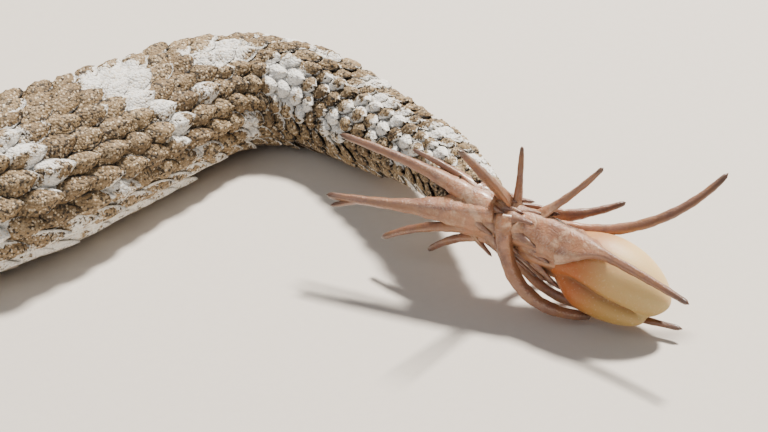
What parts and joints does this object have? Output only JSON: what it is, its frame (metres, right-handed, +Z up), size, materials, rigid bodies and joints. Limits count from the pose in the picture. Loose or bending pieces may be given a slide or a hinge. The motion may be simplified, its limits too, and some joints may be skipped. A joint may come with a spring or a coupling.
{
  "type": "spider-tailed horned viper",
  "caption": "Life-size horned viper resting in a flat coil, head raised over it, with its tail laid out and ending in a spider-like lure of long scales and a soft bulb.",
  "frame": {"origin": "on the floor under the middle of the hind body's flat belly, 12 mm ahead of the vent", "axes": "+Z up from the floor; +X along the object's longest extent, from the coil to the tail lure; +Y away from the picture's camera"},
  "size_m": [0.2803, 0.1643, 0.053],
  "materials": {
    "body_scales": "rough keeled scales, sandy tan with brown saddles",
    "tail_scales": "rough knobbed scales, olive brown flecked dark and chalk white",
    "head_scales": "small rough scales, sandy tan",
    "horn_scales": "pointed dry scales",
    "eye": "glossy, grey-brown flecked iris with an upright slit pupil",
    "lure_flesh": "soft, pinkish brown, slightly glossy",
    "lure_bulb": "soft and smooth, cream"
  },
  "bodies": {
    "root": {"neck": "body_scales", "fore_body_1": "body_scales", "fore_body_2": "body_scales", "fore_body_3": "body_scales", "mid_body_1": "body_scales", "mid_body_2": "body_scales", "mid_body_3": "body_scales", "mid_body_4": "body_scales", "hind_body_1": "body_scales", "hind_body_2": "body_scales", "hind_body_3": "body_scales", "tail_1": "tail_scales", "tail_2": "tail_scales", "head": "head_scales", "lower_jaw": "head_scales", "eye_left": "eye", "eye_right": "eye", "horn_left": "horn_scales", "horn_right": "horn_scales", "lure_stalk": "lure_flesh", "lure_bulb": "lure_bulb"}
  },
  "joints": []
}
